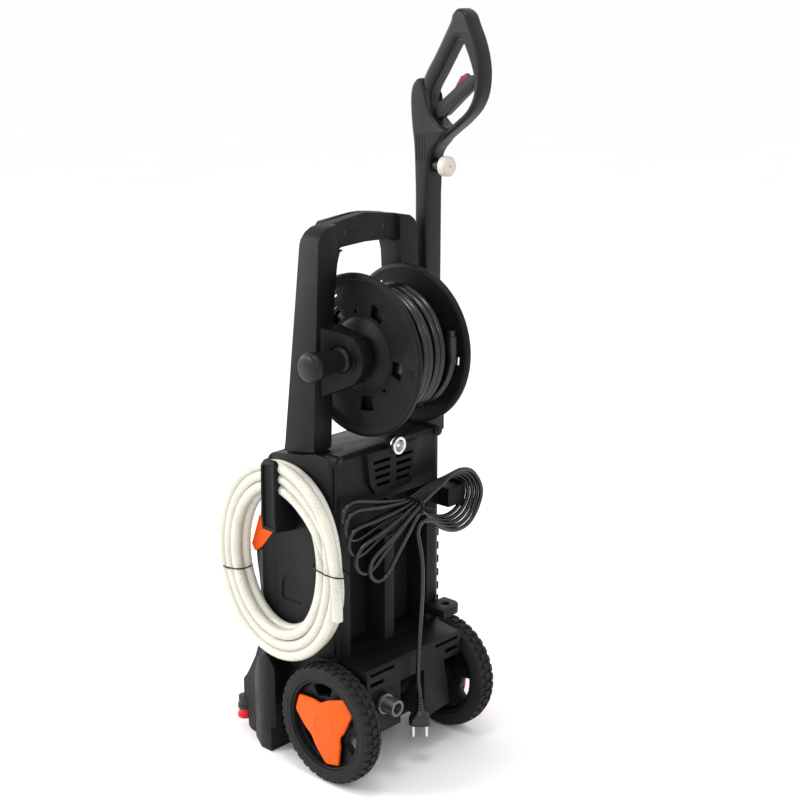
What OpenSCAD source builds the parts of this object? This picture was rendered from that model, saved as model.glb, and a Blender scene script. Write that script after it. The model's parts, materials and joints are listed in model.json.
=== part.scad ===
// Upright electric pressure washer with hose reel, carrying handle, trigger
// gun in a holster, coiled supply hose and bundled mains cord.
// Millimetres, +Z up, the operator stands behind the machine at +Y.

/* [Wheels] */
// Wheel diameter over the tread
wheel_d = 175; // [170:1:178]
// Width of each wheel
wheel_w = 31.4; // [29:0.2:32]
// Distance between the outer faces of the two wheels
track = 272.4; // [271:0.2:276]
// Axle diameter
axle_d = 12; // [10:0.5:14]

/* [Housing] */
// Width of the housing
body_w = 220; // [216:1:221]
// Height of the shoulder that carries the handle
shoulder_z = 470; // [468:1:472]
// Wall thickness of the moulded shells
wall = 3; // [2:0.5:3.5]
// Depth of the two rear bays
bay_depth = 40; // [30:1:42]

/* [Handle] */
// Height of the top of the handle
handle_z = 788; // [780:1:800]
// Diameter of the screw heads in the grip
screw_d = 7; // [5:0.5:9]

/* [Hose reel] */
// Flange diameter
flange_d = 225.2; // [215:0.2:226]
// Distance between the outer faces of the flanges
reel_w = 106; // [100:1:107]
// Height of the reel's axis
reel_z = 603; // [602:0.5:606]
// Diameter of the drum
drum_d = 96; // [80:1:110]
// Diameter of the wound hose pack
wound_d = 182; // [150:1:188]
// Diameter of the high pressure hose
hp_d = 11; // [9:0.5:12]
// Diameter of the winding knob at its outer end
knob_d = 41; // [36:1:44]
// How far the winding knob stands out from the middle
knob_x = 150; // [146:1:154]

/* [Gun] */
// Centre plane of the gun, right of the middle
gun_x = 130; // [129:0.5:132]
// Width of the gun's barrel housing
gun_w = 34; // [30:1:34]
// Width of the grip and guard
grip_w = 28; // [24:1:30]

/* [Cord and supply hose] */
// Diameter of the mains cord
cord_d = 6.4; // [6:0.1:7]
// Outer diameter of the clear supply hose
hose_d = 18; // [16:0.5:19]

/* [Hidden] */

$fn = 48;
off = [0, 59.7, 0];      // machine frame to the row frame
hw = body_w / 2;
wr = wheel_d / 2;
axle_z = wr;
wx1 = track / 2;
wx0 = wx1 - wheel_w;
fr = flange_d / 2;
reel_y = -8.5;
rx = reel_w / 2;
e = 0.1;                   // seam gap between touching mouldings
motor_y = -93;

module place() translate(off) children();
module ex_x(x0, x1, p) translate([x0, 0, 0]) rotate([90, 0, 90]) linear_extrude(x1 - x0) polygon(p);
module ex_y(y0, y1, p) translate([0, y1, 0]) rotate([90, 0, 0]) linear_extrude(y1 - y0) polygon(p);
module ex_z(z0, z1, p) translate([0, 0, z0]) linear_extrude(z1 - z0) polygon(p);
module bx(x0, x1, y0, y1, z0, z1) translate([x0, y0, z0]) cube([x1 - x0, y1 - y0, z1 - z0]);
module cx(x0, x1, y, z, r) translate([x0, y, z]) rotate([0, 90, 0]) cylinder(h = x1 - x0, r = r);
module cy(y0, y1, x, z, r) translate([x, y0, z]) rotate([-90, 0, 0]) cylinder(h = y1 - y0, r = r);
module cz(z0, z1, x, y, r) translate([x, y, z0]) cylinder(h = z1 - z0, r = r);
module both() { children(); mirror([1, 0, 0]) children(); }
function arc(cx, cy, r, a0, a1, n) = [for (i = [0:n]) let(a = a0 + (a1 - a0) * i / n) [cx + r * cos(a), cy + r * sin(a)]];
function ellipse(cx, cy, a, b, n) = [for (i = [0:n - 1]) [cx + a * cos(360 * i / n), cy + b * sin(360 * i / n)]];
function mirror_pts(p) = [for (i = [len(p) - 1:-1:0]) [-p[i][0], p[i][1]]];

// ---------------------------------------------------------------- housings
front_side = [[-120.1, 456], [-126, 452], [-134, 440], [-142, 400], [-149, 356],
  [-166, 310], [-163, 280], [-152, 226], [-158, 170], [-175, 128], [-197, 92],
  [-210, 76], [-213, 70], [-213, 54], [-206, 47], [-199, 42], [-196, 7],
  [-190, 3], [-178, 3], [-172, 40], [-140.2, 44], [-140.2, 172], [-120.1, 176]];
front_plan = [[-hw, -100], [-hw, -146], [-hw + 5, -160], [-hw + 9, -190], [-hw + 10, -206],
  [-hw + 17, -212], [-hw + 30, -214], [hw - 30, -214], [hw - 17, -212], [hw - 10, -206], [hw - 9, -190], [hw - 5, -160],
  [hw, -146], [hw, -100]];

module front_block(inset) intersection() {
  ex_x(-hw + inset, hw - inset, front_side);
  ex_z(0, 470, front_plan);
}

module front_housing() place() color([0.10, 0.10, 0.11]) difference() {
  front_block(0);
  intersection() {
    translate([0, 4, 0]) front_block(wall);
    union() { bx(-hw, hw, -146, -100, 17, shoulder_z - 19); bx(-hw + 11, hw - 11, -220, -145, 17, shoulder_z - 19); }
  }
  // seat of the coloured band
  both() ex_x(hw - 6.8, hw + 2, [[-168, 309.2], [-150, 356], [-146.1, 355], [-146.1, 309.2], [-160, 299.6]]);
  // switch recess and its shaft hole
  cy(-160, -143.2, 0, 398, 24);
  cy(-160, -125, 0, 398, 4.2);
  // front air slots
  for (i = [0:4]) bx(-46, 46, -185, -140, 190 + 12 * i, 196 + 12 * i);
  // spigot hole in the nose
  cz(30, 49.3, 93, -211, 10.7);
  cz(37.4, 72, 93, -203, 5.7);
}

// side view of the rear shell: the shoulder falls away to the front
rear_side = [[-119.9, 176], [-118, 172.1], [0, 172.1], [0, shoulder_z - 6], [-5, shoulder_z],
  [-36, shoulder_z + 1], [-60, shoulder_z - 5], [-119.9, shoulder_z - 14]];
rear_plan = concat([[-hw, -119.9]], [[hw, -119.9]], arc(hw - 12, -12, 12, 0, 90, 8), arc(-hw + 12, -12, 12, 90, 180, 8));
vee = [[-52, 466], [52, 466], [47, 422], [34, 404], [-34, 404], [-47, 422]];

module rear_housing() place() color([0.10, 0.10, 0.11]) {
  difference() {
    union() {
      intersection() {
        ex_x(-hw, hw, rear_side);
        ex_z(172, 475, rear_plan);
      }
      ex_y(-2, 8, vee);
      // side box that the cord bundle hangs on
      bx(-hw - 22, -hw + 13, -6, 26, 356, 384);
      bx(-hw - 22, -hw - 17, -6, 26, 350.5, 391.5);
      // steps on the side wall
      for (i = [0:5]) bx(-hw - 3, -hw + 1, -24, -6, 196 + 21 * i, 207 + 21 * i);
      // shoulder tabs behind the handle legs
      both() cy(-20, 3.4, 101, 466.5, 7.5);
      // boss of the rear connector
      cy(-10, 8, -5, 468, 13);
    }
    // hollow behind the bays
    ex_x(-hw + wall, hw - wall, [[-121, 171], [-bay_depth - 3, 171], [-bay_depth - 3, 440], [-60, 455], [-121, 446]]);
    // hollow beside the bays and above them
    both() bx(83, hw - wall, -bay_depth - 4, -wall, 171, 388);
    bx(-hw + wall, hw - wall, -bay_depth - 4, -wall, 398, shoulder_z - 12);
    // rear bays, open above the centre post
    difference() {
      bx(-80, 80, -bay_depth, 10, 176, 391);
      bx(-9.5, 9.5, -bay_depth - 1, 11, 170, 334);
    }
    // louvres
    for (i = [0:3]) both() bx(6, 40 - 2 * i, -8, 9, 448 - 11 * i, 453 - 11 * i);
    // recess in each side wall
    both() translate([hw + 0.8, 0, 0]) ex_x(-3, 1, concat([[-66, 243], [-62, 258]], arc(-86, 262, 20, 40, 180, 8), [[-107, 246], [-103, 242]]));
    // window for the mains cord
    cy(-bay_depth - 6, -bay_depth + 4, -30, 366, 8.1);
    // room over the wheels
    both() cx(wx0 - 1.2, hw + 1, 0, axle_z, wr + 1.6);
    // seam recess for the rear connector
    cy(-6.1, 9, -5, 468, 11.6);
  }
}

module accent_band() place() color([1.0, 0.42, 0.12]) {
  ex_x(-hw + 6.5, hw - 6.5, [[-166.2, 309.5], [-149.3, 355.4], [-150.9, 356], [-167.8, 310]]);
  both() ex_x(hw + 0.1, hw + 1.7, [[-146, 309], [-160, 312], [-150, 356], [-116, 345]]);
  both() ex_x(hw - 6.6, hw + 1.7, [[-166.3, 309.5], [-149.4, 355.4], [-146.2, 354.3], [-146.2, 309.5], [-160, 300]]);
}

module wheel_guards() place() color([0.09, 0.09, 0.1]) both() difference() {
  union() {
    // flare in front of the wheel
    intersection() {
      ex_z(39, 153, [[hw + e, -168], [hw + 2, -168], [125, -141], [125, -122], [121, -114], [hw + e, -112]]);
      ex_x(hw, 126, [[-172, 30], [-172, 80], [-165, 112], [-150, 140], [-129, 152], [-122, 150], [-113, 128], [-109, 95], [-111, 45], [-112, 30]]);
    }
    // skirt down to the floor
    ex_z(0.6, 39.5, [[80, -171.3], [108.5, -171.3], [125, -141], [125, -120], [80, -120]]);
  }
  ex_z(-1, 36.5, [[83, -168.3], [107, -168.3], [122, -140.4], [122, -123], [83, -123]]);
}

module front_feet() place() color([0.05, 0.05, 0.05]) both() bx(62, 92, -190.2, -177.8, 0, 2.9);

module base_chassis() place() color([0.12, 0.12, 0.13]) difference() {
  union() {
    bx(-92, 92, -140, 0, 44, 172);
    // rear beam with a sloping top
    ex_x(-99, 99, [[-1, 136], [50, 136], [50, 166], [46, 170], [0.2, 172], [-1, 172]]);
    ex_x(-99, 99, [[0.2, 171], [46, 169.5], [0.2, 176]]);
    // left leg carries the inlet, right leg is a plain box
    bx(24, 92, -1, 44, 66, 137);
    ex_y(-1, 50, [[-19, 137], [-62, 137], [-76, 64], [-21, 58]]);
    // axle bosses
    both() cx(70, 101.5, 0, axle_z, 17);
    both() bx(70, 101.5, -60, 0, axle_z - 9, axle_z + 9);
    // side sills that carry the wheel guards
    both() bx(91, hw - 0.1, -139, -118, 50, 150);
  }
  // pump room, open at the top
  bx(-89, 89, -137, -3 - 6, 47, 173);
  // hollow legs, open below
  bx(27, 89, 2, 41, 60, 133);
  bx(-58, -24, 2, 47, 55, 133);
  // axle
  cx(-112, 112, 0, axle_z, axle_d / 2 + 0.05);
  // slots in the rear beam
  both() bx(43, 92, 36, 51, 160, 165);
  both() bx(65, 92, 36, 51, 145, 151);
  bx(-95, 95, 4, 44, 139, 158);
  // inlet hole
  cy(40, 46, 60, 110, 12.06);
  // hose hole to the front
  cy(-141, -136, 84, 60, 7);
}

// ------------------------------------------------------------------ handle
frame_out = [[112, 456], [108, 560], [101, 680], [98, 745], [97, 760], [92, 769], [82, handle_z - 12], [62, handle_z - 8.5], [32, handle_z - 4], [0, handle_z]];
frame_in = [[78, 456], [74, 560], [68, 680], [62, 726], [57, 741], [46, 746], [0, handle_z - 40]];
module frame_view() {
  polygon(concat([[112, 440]], frame_out, mirror_pts(frame_out), [[-112, 440], [-78, 440]],
    [for (p = frame_in) [-p[0], p[1]]], [for (i = [len(frame_in) - 2:-1:0]) frame_in[i]], [[78, 440]]));
}
module handle_frame() place() color([0.11, 0.11, 0.12]) difference() {
  union() {
    intersection() {
      translate([0, -30, 0]) rotate([90, 0, 0]) linear_extrude(80) frame_view();
      ex_x(-115, 115, [[-36, 474], [-94, 465], [-92, 480], [-77, 680], [-72, 752], [-66, 774], [-56, handle_z + 2], [-40, handle_z + 2], [-36, 778]]);
    }
    // legs let into the shoulder
    both() ex_x(79, hw - 4, [[-38, 473], [-38, 471.5], [-59.9, 467], [-94, 460.3], [-94, 466], [-60, 470]]);
  }
  // grip part of the crossbar is set back
  bx(-62, 62, -44, -30, 744, 800);
  bx(-60, 60, -120, -66, 740, 800);
  // hollow legs, open to the front
  both() ex_x(80, 94, [[-41, 480], [-150, 480], [-150, 735], [-41, 735]]);
  // grip screws
  both() cy(-67, -43, 36.2, 765, 2.1);
  both() cy(-47.5, -43, 36.2, 765, screw_d / 2 + 0.1);
}

module handle_grip() place() color([0.13, 0.13, 0.14]) difference() {
  intersection() {
    ex_x(-59.9, 59.9, concat([[-66.1, 746.5], [-66.1, handle_z - 1], [-69, handle_z - 2.6], [-75, handle_z - 7.6], [-80.5, handle_z - 14.6], [-84, handle_z - 22]], arc(-72, 759, 13, 175, 270, 8)));
    ex_y(-90, -60, concat([[-62, 745], [62, 745]], [[62, handle_z - 8.5], [32, handle_z - 4], [0, handle_z], [-32, handle_z - 4], [-62, handle_z - 8.5]]));
  }
  both() cy(-80, -66, 36.2, 765, 1.6);
}

module screws() place() color([0.35, 0.35, 0.37]) {
  // grip screws
  both() { cy(-64, -46, 36.2, 765, 1.5); cy(-47, -44.6, 36.2, 765, screw_d / 2); }
  // shoulder tab screws
  both() difference() { cy(3.5, 5.4, 102, 467, 3.6); cy(4.4, 6, 102, 467, 1.6); }
}

// -------------------------------------------------------------------- reel
module bracket() difference() {
  union() {
    cx(60, 78, reel_y, reel_z, 34);
    cx(77, 81, reel_y, reel_z, 22);
    // arm from the leg, its outer face slants in to the boss
    intersection() {
      ex_x(59, 100, [[reel_y + 20, 634], [-36.1, 645], [-36.1, 549], [reel_y + 20, 572]]);
      ex_z(540, 650, [[60, -36.1], [98, -36.1], [97, -31], [84, -12], [80, 2], [78, 12], [60, 12]]);
    }
  }
  cx(59, 87, reel_y, reel_z, 8.06);
  bx(50, 110, -50, -35.9, 500, 700);
  // room for the end of the knob
  cx(81.4, 110, reel_y, reel_z, 19);
}
module reel_bracket_left() place() color([0.10, 0.10, 0.11]) bracket();
module reel_bracket_right() place() color([0.10, 0.10, 0.11]) mirror([1, 0, 0]) bracket();

module flange(windows) difference() {
  translate([0, reel_y, reel_z]) rotate([0, 90, 0]) rotate_extrude($fn = 96)
    polygon([[8.1, rx - 14], [40, rx - 14], [48, rx - 12], [70, rx - 9], [86, rx - 8], [100, rx - 7.5], [fr - 5, rx - 9], [fr, rx - 7],
      [fr, rx - 2], [fr - 3, rx], [fr - 7, rx], [fr - 10, rx - 4.5], [86, rx - 5], [70, rx - 5.5], [52, rx - 8], [44, rx - 3], [30, rx - 2.6], [26, rx - 1], [8.1, rx - 1]]);
  if (windows) {
    for (a = [63:72:351]) translate([0, reel_y, reel_z]) rotate([a, 0, 0])
      ex_x(rx - 12, rx + 1, concat(arc(0, 0, 57, -10, 10, 4), arc(0, 0, 77, 10, -10, 4)));
    for (a = [99, 315]) translate([0, reel_y, reel_z]) rotate([a, 0, 0]) cx(rx - 15, rx + 1, 60, 0, 3);
  }
  // see-through slots near the rim
  for (a = [123, 227, 354]) translate([0, reel_y, reel_z]) rotate([a, 0, 0]) {
    ex_x(rx - 12, rx + 1, concat(arc(0, 0, 87, -3.5, 3.5, 2), arc(0, 0, 90.4, 3.5, -3.5, 2)));
    ex_x(rx - 12, rx + 1, concat(arc(0, 0, 93, -3.5, 3.5, 2), arc(0, 0, 96.4, 3.5, -3.5, 2)));
  }
}
module reel_flange_left() place() color([0.11, 0.11, 0.12]) flange(true);
module reel_flange_right() place() color([0.11, 0.11, 0.12]) mirror([1, 0, 0]) flange(false);

module reel_drum() place() color([0.11, 0.11, 0.12]) difference() {
  cx(-rx + 14.1, rx - 14.1, reel_y, reel_z, drum_d / 2);
  cx(-rx + 20, rx - 20, reel_y, reel_z, drum_d / 2 - 3);
  cx(-rx, rx, reel_y, reel_z, 8.1);
}
module reel_shaft() place() color([0.55, 0.56, 0.58]) difference() {
  cx(-101, 100, reel_y, reel_z, 8);
  // water way from the swivel
  cx(-102, 10, reel_y, reel_z, 3);
}
module reel_hose() place() color([0.05, 0.05, 0.05]) difference() {
  translate([0, reel_y, reel_z]) rotate([0, 90, 0])
    rotate_extrude($fn = 96) polygon([[drum_d / 2 + 0.6, -rx + 15], [66, -rx + 14.6], [wound_d / 2, -rx + 11.5], [wound_d / 2, rx - 21], [82, rx - 12], [66, rx - 14.6], [drum_d / 2 + 0.6, rx - 15]]);
  translate([-36, reel_y + 92.5, reel_z]) rotate([4, 0, 0]) cz(-11, 42, 0, 0, 7.9);
}
module hose_end_fitting() place() color([0.6, 0.6, 0.62]) translate([-36, reel_y + 92.5, reel_z]) rotate([4, 0, 0]) difference() {
  union() { cz(2, 26, 0, 0, 7.2); cz(-10, 2.5, 0, 0, 6.2); cz(25.5, 34, 0, 0, 5.4); }
  cz(20, 36, 0, 0, 3);
}
module reel_swivel() place() color([0.72, 0.6, 0.3]) difference() {
  union() { cx(-109, -87, reel_y, reel_z, 13); cy(reel_y + 2, reel_y + 32, -98, reel_z, 7); }
  cx(-102, -86, reel_y, reel_z, 8.06);
  cx(-106, -101, reel_y, reel_z, 4);
  cy(reel_y + 13.5, reel_y + 33, -98, reel_z, 3.5);
}
module winding_knob() place() color([0.12, 0.12, 0.13]) translate([0, reel_y, reel_z]) difference() {
  rotate([0, 90, 0]) rotate_extrude($fn = 72) polygon([[0, 82], [17, 82], [18, 84], [18, 88], [15.2, 91], [15.2, 98], [16.6, 112], [18.6, 128], [knob_d / 2, 138],
    [knob_d / 2, 143], [knob_d / 2 - 2.4, knob_x - 3], [14, knob_x - 0.6], [0, knob_x]]);
  for (a = [0:45:315]) rotate([a, 0, 0]) cx(94, 134, 0, 20.6, 3.4);
  cx(81, 100.1, 0, 0, 8.02);
}

// ------------------------------------------------------------------ wheels
module tyre() translate([0, 0, axle_z]) rotate([0, 90, 0]) difference() {
  rotate_extrude($fn = 120) polygon([[66.1, wx0 + 3], [70, wx0 + 1], [78, wx0], [wr - 4, wx0 + 1], [wr, wx0 + 5], [wr, wx0 + 11], [wr - 2.5, wx0 + 11], [wr - 2.5, wx0 + 13],
    [wr, wx0 + 13], [wr, wx1 - 13], [wr - 2.5, wx1 - 13], [wr - 2.5, wx1 - 11], [wr, wx1 - 11], [wr, wx1 - 5], [wr - 4, wx1 - 1], [78, wx1], [70, wx1 - 1], [66.1, wx1 - 3]]);
  for (a = [0:12:348]) rotate([0, 0, a]) translate([wr - 2, -1.2, wx0 - 1]) cube([6, 2.4, wheel_w + 2]);
}
module tyre_left() place() color([0.10, 0.10, 0.10]) tyre();
module tyre_right() place() color([0.10, 0.10, 0.10]) mirror([1, 0, 0]) tyre();

module rim() translate([0, 0, axle_z]) difference() {
  rotate([0, 90, 0]) rotate_extrude($fn = 96) polygon([[axle_d / 2 + 0.06, wx0 + 1], [18, wx0 + 1], [18, wx0 + 8], [60, wx0 + 8], [61, wx0 + 2], [66, wx0 + 2], [66, wx1 - 2], [62.5, wx1 - 2],
    [60.6, wx1 - 12], [20, wx1 - 11], [20, wx1 - 6], [axle_d / 2 + 0.06, wx1 - 6]]);
  // three kidney openings
  for (a = [102.3:120:343]) rotate([a, 0, 0]) ex_x(wx0, wx1 + 1, concat(arc(0, 0, 40, -17, 17, 4), arc(0, 0, 57, 20, -20, 6)));
}
module rim_left() place() color([0.08, 0.08, 0.09]) rim();
module rim_right() place() color([0.08, 0.08, 0.09]) mirror([1, 0, 0]) rim();

// three-lobe cover over the hub, sunk towards its tips
lobe = [[16.5, -28.6], [31, -24.7], [50, -16.5], [58, -12.5], [59.2, -9], [59.2, 9], [58, 12.5], [50, 16.5], [31, 24.7]];
cap_line = [for (a = [42.3, 162.3, 282.3]) for (q = lobe) [q[0] * cos(a) - q[1] * sin(a), q[0] * sin(a) + q[1] * cos(a)]];
module cap() translate([0, 0, axle_z]) difference() {
  union() {
    ex_x(wx1 - 7.5, wx1 - 3.5, cap_line);
    for (a = [42.3, 162.3, 282.3]) rotate([a, 0, 0]) ex_x(wx1 - 9.8, wx1 - 7, [[28, -8], [54, -8], [54, 8], [28, 8]]);
    rotate([0, 90, 0]) rotate_extrude($fn = 72) polygon([[0, wx1 - 5], [30.6, wx1 - 5], [30.6, wx1 - 2.6], [23, wx1 + 0.4], [20, wx1 + 1.4], [19, wx1 + 2.4], [17, wx1 + 2.4], [16.5, wx1 + 1.4], [0, wx1 + 1.4]]);
  }
  cx(wx1 - 12, wx1 - 5.6, 0, 0, 20.6);
  cx(wx1 - 6, wx1 - 3.5, 0, 0, 13);
}
module hub_cap_left() place() color([1.0, 0.42, 0.12]) cap();
module hub_cap_right() place() color([1.0, 0.42, 0.12]) mirror([1, 0, 0]) cap();
module wheel_axle() place() color([0.6, 0.6, 0.62]) cx(-wx1 + 5, wx1 - 5, 0, axle_z, axle_d / 2);
module axle_clips() place() color([0.6, 0.6, 0.62]) both() difference() {
  cx(wx1 - 5.9, wx1 - 4.6, 0, axle_z, 10);
  cx(wx1 - 7, wx1 - 4, 0, axle_z, axle_d / 2 + 0.05);
}

// -------------------------------------------------- hooks, lug and holster
module hose_hook() place() color([0.09, 0.09, 0.10]) difference() {
  intersection() {
    ex_y(-104, -76, [[hw + e, 352], [148, 357], [149, 380], [148, 448], [146, 456], [142, 460], [138.5, 458], [137, 448], [121, 386], [118, 384], [hw + e, 384]]);
    ex_x(100, 150, [[-104, 357], [-104, 452], [-98, 461], [-82, 461], [-76, 452], [-76, 352], [-98, 350]]);
  }
  // pocket in the outer face
  ex_x(144, 150, [[-100.5, 362], [-100.5, 450], [-97, 455], [-84, 455], [-80, 450], [-80, 362]]);
}
module accessory_lug() place() color([0.11, 0.11, 0.12]) difference() {
  union() {
    bx(-100, -75, 0.1, 38, 192, 204);
    cz(192, 204, -100, 19, 19);
    bx(-119, -100, 0.1, 19, 192, 204);
  }
  cz(190, 206, -100, 19, 6);
}
module gun_holster() place() color([0.10, 0.10, 0.11]) difference() {
  union() {
    bx(-150, -112.6, -60, -30, 452, 486);
    bx(-113, -hw - e, -60, -30, 440, 466);
  }
  bx(-147.6, -112.4 - 0.1, -56.6, -33.4, 456, 490);
  cz(450, 458, -gun_x, -45, 7);
}
module rear_connector() place() color([0.72, 0.72, 0.74]) difference() {
  union() { cy(-6, 9, -5, 468, 11.5); cy(8.1, 16, -5, 468, 12.5); }
  difference() { cy(2, 17, -5, 468, 8.5); cy(0, 13, -5, 468, 3); }
}

// ------------------------------------------------------------- water parts
module water_inlet() place() color([0.45, 0.46, 0.48]) difference() {
  union() { cy(30, 72, 60, 110, 12); cy(44.1, 50, 60, 110, 15); cy(6, 30, 60, 110, 9); }
  cy(5, 73, 60, 110, 8);
}
module inlet_filter() place() color([0.20, 0.20, 0.22]) difference() {
  cy(58, 66, 60, 110, 7.9);
  for (a = [45:90:315]) translate([60, 0, 110]) rotate([0, a, 0]) translate([-0.1, 57, -0.1]) bx(1.2, 5, 0, 10, 1.2, 5);
}
module outlet_spigot() place() color([0.14, 0.14, 0.15]) difference() {
  union() { cz(30.2, 49, 93, -211, 10.4); cz(23, 34, 93, -211, 7.4); cz(30.2, 36, 93, -211, 11.8); cz(38, 70, 93, -203, 5.5); }
  cz(21, 44, 93, -211, 4);
  cz(40, 71, 93, -203, 3);
}
module outlet_cap() place() color([0.85, 0.08, 0.07]) difference() {
  union() { cz(15.5, 21, 93, -211, 12.5); cz(21, 29.8, 93, -211, 10.6); }
  cz(19, 30, 93, -211, 7.46);
}

// ----------------------------------------------------------- motor and pump
module motor_housing() place() color([0.4, 0.41, 0.43]) difference() {
  union() { cz(200, 320, 0, motor_y, 44); cz(196, 200.5, 0, motor_y, 47); both() bx(20, 62, motor_y - 8, motor_y + 8, 194, 200); }
  cz(206, 322, 0, motor_y, 40);
  cz(190, 207, 0, motor_y, 5.06);
  for (a = [0:60:300]) translate([0, motor_y, 0]) rotate([0, 0, a]) bx(38, 50, -6, 6, 290, 310);
}
module motor_rotor() place() color([0.55, 0.4, 0.25]) {
  cz(164, 334, 0, motor_y, 5);
  cz(214, 284, 0, motor_y, 27);
  cz(290, 306, 0, motor_y, 15);
}
module cooling_fan() place() color([0.25, 0.25, 0.27]) difference() {
  union() {
    cz(324, 340, 0, motor_y, 11);
    cz(324, 326.5, 0, motor_y, 38);
    for (a = [0:45:315]) translate([0, motor_y, 0]) rotate([0, 0, a]) bx(9, 37, -1, 1, 326, 338);
  }
  cz(320, 345, 0, motor_y, 5.02);
}
module pump_body() place() color([0.62, 0.63, 0.65]) difference() {
  union() {
    bx(-36, 36, motor_y - 34, motor_y + 34, 60, 128);
    cz(127, 189, 0, motor_y, 38);
    bx(34, 58, motor_y - 8, motor_y + 8, 84, 100);
    bx(40, 56, motor_y - 40, motor_y - 6, 84, 100);
  }
  cz(144, 190, 0, motor_y, 33);
  for (a = [90:120:330]) translate([0, motor_y, 0]) rotate([0, 0, a]) cz(90, 146, 20, 0, 6.05);
  cz(136, 145, 0, motor_y, 5.5);
}
module wobble_plate() place() color([0.5, 0.5, 0.52]) difference() {
  union() { cz(172, 184, 0, motor_y, 14); intersection() { cz(150, 176, 0, motor_y, 29); translate([0, motor_y, 163]) rotate([8, 0, 0]) translate([-40, -40, -4]) cube([80, 80, 12]); } }
  cz(140, 190, 0, motor_y, 5.02);
}
module pump_pistons() place() color([0.8, 0.8, 0.82]) for (a = [90:120:330]) translate([0, motor_y, 0]) rotate([0, 0, a]) cz(96, 149, 20, 0, 6);

module switch_box() place() color([0.15, 0.15, 0.16]) difference() {
  bx(-24, 24, -126, -92, 372, 424);
  cy(-128, -100, 0, 398, 3.56);
}
module capacitor() place() color([0.75, 0.75, 0.77]) { cz(216, 280, 76, -94, 17); cz(280, 284, 76, -94, 7); }
module power_knob() place() color([1.0, 0.42, 0.12]) {
  difference() { cy(-158, -144, 0, 398, 20); for (a = [0:30:330]) translate([0, 0, 398]) rotate([0, a, 0]) cy(-159, -148, 21, 0, 2); }
  translate([0, 0, 398]) bx(-3.4, 3.4, -164, -157.5, -18, 18);
  cy(-145, -104, 0, 398, 3.5);
}

// ----------------------------------------------------------------- the cord
module cord_gland() place() color([0.06, 0.06, 0.06]) difference() {
  union() { cy(-bay_depth - 5.5, -bay_depth + 3, -30, 366, 8); cy(-bay_depth + 0.1, -bay_depth + 4, -30, 366, 11);
    translate([-30, -bay_depth + 4, 366]) rotate([-90, 0, 0]) cylinder(h = 24, r1 = 7, r2 = 4.4); }
  cy(-bay_depth - 7, -bay_depth + 30, -30, 366, cord_d / 2 + 0.02);
}
// a tube swept along points: rings square to the local run
function unit(v) = v / norm(v);
function ring(p, t, r, n) = let(u = unit(cross(t, abs(t[2]) > 0.9 ? [1, 0, 0] : [0, 0, 1])), w = cross(u, t))
  [for (i = [0:n - 1]) p + r * cos(360 * i / n) * u + r * sin(360 * i / n) * w];
module tube(path, r, n) {
  k = len(path);
  pts = [for (i = [0:k - 1]) let(t = unit(path[min(i + 1, k - 1)] - path[max(i - 1, 0)])) each ring(path[i], t, r, n)];
  faces = concat([[for (j = [0:n - 1]) j]],
    [for (i = [0:k - 2], j = [0:n - 1]) [i * n + (j + 1) % n, i * n + j, (i + 1) * n + j, (i + 1) * n + (j + 1) % n]],
    [[for (j = [n - 1:-1:0]) (k - 1) * n + j]]);
  polyhedron(points = pts, faces = faces, convexity = 4);
}
// hanging lead from the tie down to the plug
lead_path = [[-8, 45, 365.9], [-8, 45, 352], [-9, 49, 332], [-9, 54, 308], [-7, 57, 280], [-5, 58, 250], [-1, 59, 216], [3, 60, 183], [6, 61, 150], [7, 61.5, 130], [4, 62, 116], [3, 62, 110], [3, 62, 104]];
module cord_lead() place() color([0.10, 0.10, 0.10]) tube(lead_path, cord_d / 2, 10);
module cord_bundle() place() color([0.08, 0.08, 0.08]) difference() {
  union() {
    ex_y(16, 50, [[-10, 396], [-22, 400], [-48, 410], [-80, 422], [-114, 422], [-138, 406], [-149, 384], [-150, 362], [-140, 340], [-118, 326],
      [-90, 323], [-62, 332], [-44, 348], [-38, 358], [-22, 366], [2, 366], [2, 392]]);
    ex_y(8.4, 34, [[-8, 390], [20, 392], [54, 400], [84, 408], [104, 402], [110, 384], [110, 340], [104, 312], [84, 292], [60, 284], [40, 290],
      [22, 312], [4, 344], [-8, 364]]);
    ex_y(-11.9, 17, [[-37, 373], [-23, 373], [-23, 359], [-37, 359]]);
  }
  // round the side box that it hangs on
  bx(-hw - 23, -hw + 14, 8, 30, 349, 393);
}
module plug_body() place() color([0.09, 0.09, 0.09]) translate([3, 62, 0]) {
  difference() {
    union() {
      translate([0, 0, 80]) cylinder(h = 23.9, r1 = 6.4, r2 = 4.4);
      intersection() { cz(62, 80.1, 0, 0, 16); rotate([0, 0, -47]) bx(-16, 16, -11.5, 11.5, 60, 82); }
    }
    rotate([0, 0, -47]) both() cz(61, 67, 9.5, 0, 2.42);
  }
}
module plug_pins() place() color([0.78, 0.78, 0.8]) translate([3, 62, 0]) rotate([0, 0, -47]) both() cz(43, 66.9, 9.5, 0, 2.4);
module ties() place() color([0.05, 0.05, 0.05]) {
  difference() { bx(-19, -13, 12.4, 53.6, 362.4, 402.8); bx(-20, -12, 15.6, 50.4, 365.6, 399.6); }
  // two ties round the supply hose
  difference() { bx(hw + 0.6, 142.6, -203.5, -157.5, 276, 278); bx(hw + 1, 142.2, -201.9, -159, 275, 279); }
  difference() { bx(hw + 0.6, 142.6, -19.4, 38.8, 318, 320); bx(hw + 1, 142.2, -17.8, 37.2, 317, 321); }
}
module supply_hose_coil() place() color([0.88, 0.88, 0.84]) difference() {
  ex_x(hw + 1.9, 141.9, ellipse(-83.5, 307, 119.5, 148, 72));
  ex_x(hw, 150, ellipse(-90, 309, 74, 98, 72));
  bx(hw - 1, 150, -104.6, -75.4, 340, 470);
}

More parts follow.
